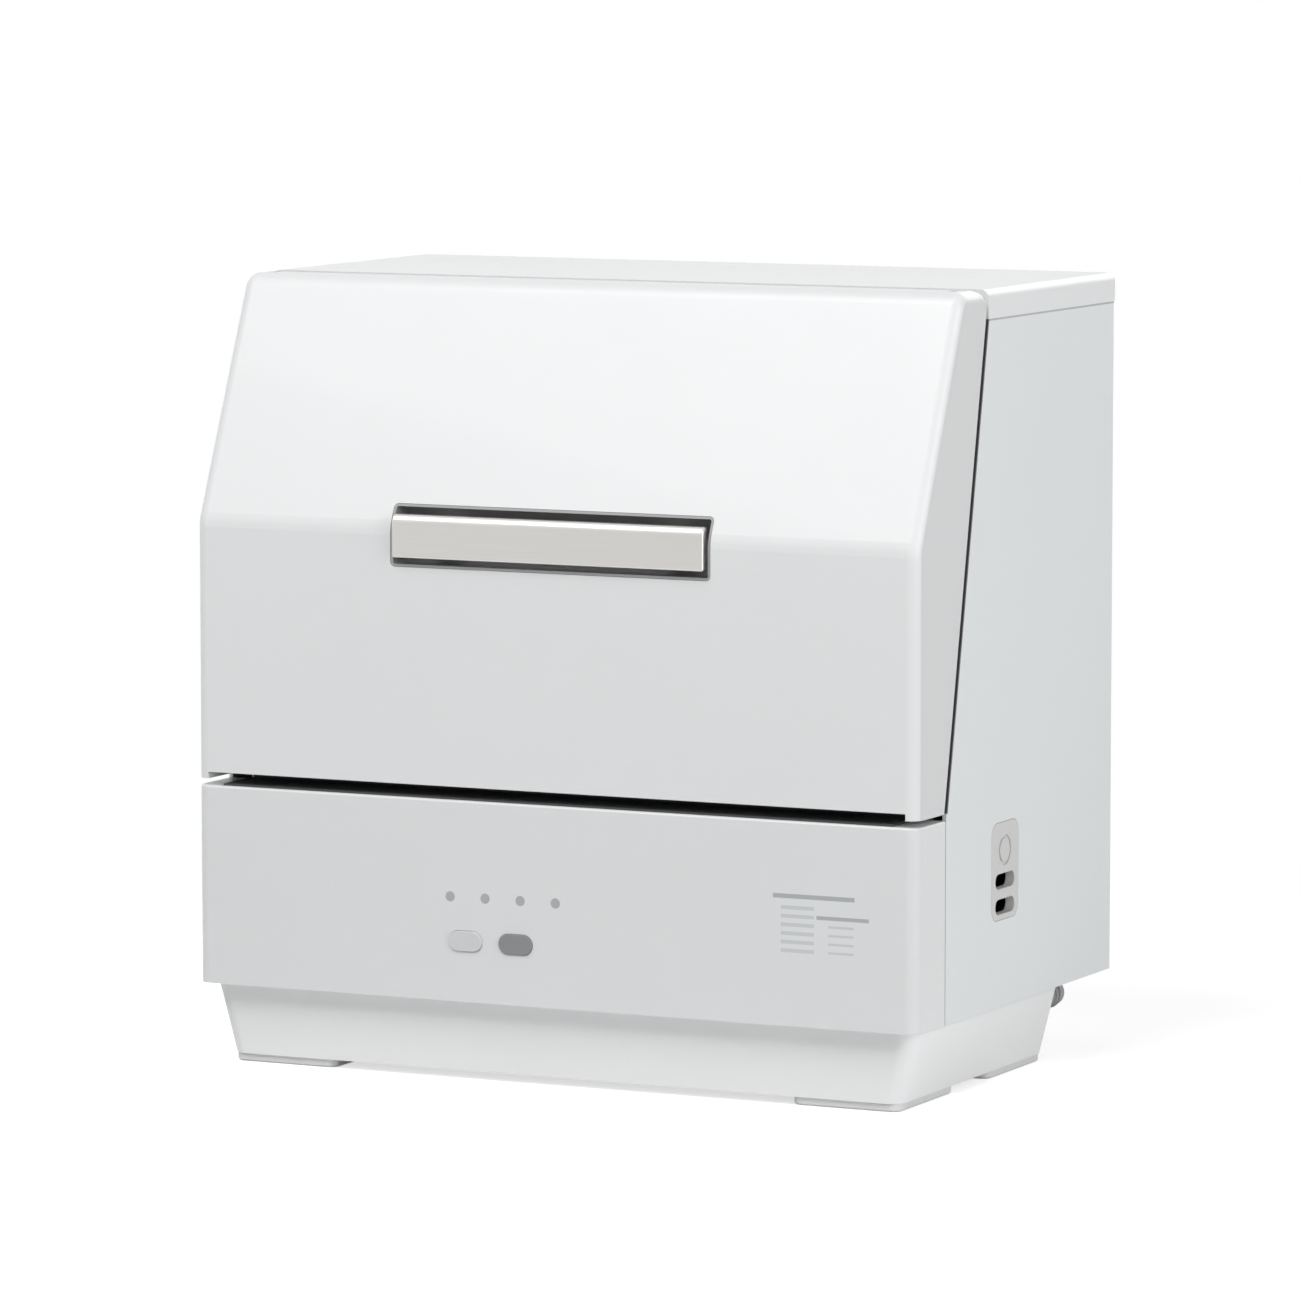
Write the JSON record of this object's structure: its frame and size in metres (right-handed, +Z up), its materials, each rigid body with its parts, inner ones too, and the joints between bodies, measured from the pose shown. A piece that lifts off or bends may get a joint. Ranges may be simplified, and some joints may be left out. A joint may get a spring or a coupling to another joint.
{
  "type": "tabletop dishwasher",
  "caption": "Compact tabletop dishwasher with a top-hinged wrap-over lid, metal pull bar, wire dish rack, cutlery basket, spray arm, sump, pumps and push buttons",
  "frame": {"origin": "Middle of the footprint, on the table under the foot pads", "axes": "+Z is up, -Y is the front with the lid, and +X is to the right seen from the front"},
  "size_m": [0.47, 0.3, 0.469],
  "materials": {
    "white_shell": "smooth white moulding",
    "grey_base": "light grey moulding",
    "foot_rubber": "pale grey pads",
    "vent_plastic": "light grey insert",
    "zinc_sheet": "zinc-plated sheet",
    "fastener_steel": "plated steel",
    "tub_steel": "brushed stainless sheet",
    "liner_plastic": "pale grey inner pan",
    "seal_rubber": "soft dark rubber",
    "drip_plastic": "dark grey channel",
    "black_plastic": "black moulding",
    "cup_plastic": "dark grey cup",
    "bar_metal": "satin silver bar",
    "magnet": "dark ferrite",
    "button_light": "pale grey key",
    "button_dark": "dark grey key",
    "lens_plastic": "clear lamp lenses",
    "board_green": "circuit board",
    "pump_plastic": "grey engineering plastic",
    "motor_metal": "dark painted motor",
    "spigot_plastic": "grey spigot",
    "valve_plastic": "off-white switch and valve plastic",
    "hose_rubber": "black hose",
    "heater_steel": "heat-tinted sheath",
    "arm_plastic": "grey water-side plastic",
    "rack_coating": "nylon-coated wire",
    "rack_plastic": "grey rack plastic"
  },
  "bodies": {
    "cabinet": {"base_tray": "grey_base", "foot_pads": "foot_rubber", "rear_screws": "fastener_steel", "side_panel_left": "white_shell", "side_panel_right": "white_shell", "side_vent": "vent_plastic", "rear_panel": "zinc_sheet", "top_cover": "white_shell", "front_panel": "white_shell", "control_board": "board_green", "board_bracket": "zinc_sheet", "indicator_lenses": "lens_plastic", "tub": "tub_steel", "tub_seal": "seal_rubber", "drip_channel": "drip_plastic", "side_frame_left": "zinc_sheet", "side_frame_right": "zinc_sheet", "hinge_bushes": "black_plastic", "catch_magnets": "magnet", "sump": "pump_plastic", "spray_hub": "pump_plastic", "spray_cap": "pump_plastic", "wash_pump_housing": "pump_plastic", "wash_motor": "motor_metal", "pump_cradle": "zinc_sheet", "delivery_pipe": "pump_plastic", "drain_pump": "pump_plastic", "drain_spigot": "spigot_plastic", "cord_gland": "black_plastic", "inlet_valve": "valve_plastic", "drain_hose": "hose_rubber", "fill_hose": "hose_rubber", "heater_element": "heater_steel", "thermostat": "valve_plastic", "terminal_block": "black_plastic", "float_switch": "valve_plastic", "rack_rails": "rack_plastic"},
    "lid": {"lid_shell": "white_shell", "lid_liner": "liner_plastic", "liner_screws": "fastener_steel", "hinge_pins": "fastener_steel", "handle_cup": "cup_plastic", "handle_bar": "bar_metal", "catch_plates": "fastener_steel", "detergent_cup": "arm_plastic"},
    "power_key": {"power_button": "button_light"},
    "start_key": {"start_button": "button_dark"},
    "arm": {"spray_arm": "arm_plastic"},
    "rack": {"rack_floor": "rack_coating", "rack_ends": "rack_coating", "rack_sides": "rack_coating", "rack_glides": "rack_plastic", "fixed_tines": "rack_coating", "tine_clips": "rack_plastic"},
    "tines": {"folding_tines": "rack_coating"},
    "basket": {"cutlery_basket": "rack_plastic"},
    "filter": {"filter_basket": "arm_plastic"},
    "float": {"float_cup": "arm_plastic"},
    "wash_wheel": {"wash_rotor": "pump_plastic"},
    "drain_wheel": {"drain_rotor": "pump_plastic"}
  },
  "joints": [
    {"name": "lid_hinge", "type": "hinge", "parent": "cabinet", "child": "lid", "pos_m": [0, -0.063, 0.457], "axis": [-1, 0, 0], "range_deg": [0, 95]},
    {"name": "power_press", "type": "slide", "parent": "cabinet", "child": "power_key", "axis": [0, 1, 0], "range_m": [0, 0.0012], "stiffness_N_per_m": 400, "springref_m": -0.001},
    {"name": "start_press", "type": "slide", "parent": "cabinet", "child": "start_key", "axis": [0, 1, 0], "range_m": [0, 0.0012], "stiffness_N_per_m": 400, "springref_m": -0.001},
    {"name": "arm_spin", "type": "hinge", "parent": "cabinet", "child": "arm", "pos_m": [0, 0.01, 0.213], "axis": [0, 0, 1], "continuous": true},
    {"name": "rack_slide", "type": "slide", "parent": "cabinet", "child": "rack", "axis": [0, -1, 0], "range_m": [0, 0.025]},
    {"name": "tine_fold", "type": "hinge", "parent": "rack", "child": "tines", "pos_m": [0, 0.045, 0.2525], "axis": [-1, 0, 0], "range_deg": [0, 80]},
    {"name": "basket_lift", "type": "slide", "parent": "rack", "child": "basket", "axis": [0, 0, 1], "range_m": [0, 0.06]},
    {"name": "filter_lift", "type": "slide", "parent": "cabinet", "child": "filter", "axis": [0, 0, 1], "range_m": [0, 0.01]},
    {"name": "float_rise", "type": "slide", "parent": "cabinet", "child": "float", "axis": [0, 0, 1], "range_m": [0, 0.008]},
    {"name": "wash_pump_spin", "type": "hinge", "parent": "cabinet", "child": "wash_wheel", "pos_m": [0.12, -0.044, 0.133], "axis": [1, 0, 0], "continuous": true},
    {"name": "drain_pump_spin", "type": "hinge", "parent": "cabinet", "child": "drain_wheel", "pos_m": [-0.04, -0.044, 0.139], "axis": [1, 0, 0], "continuous": true}
  ]
}
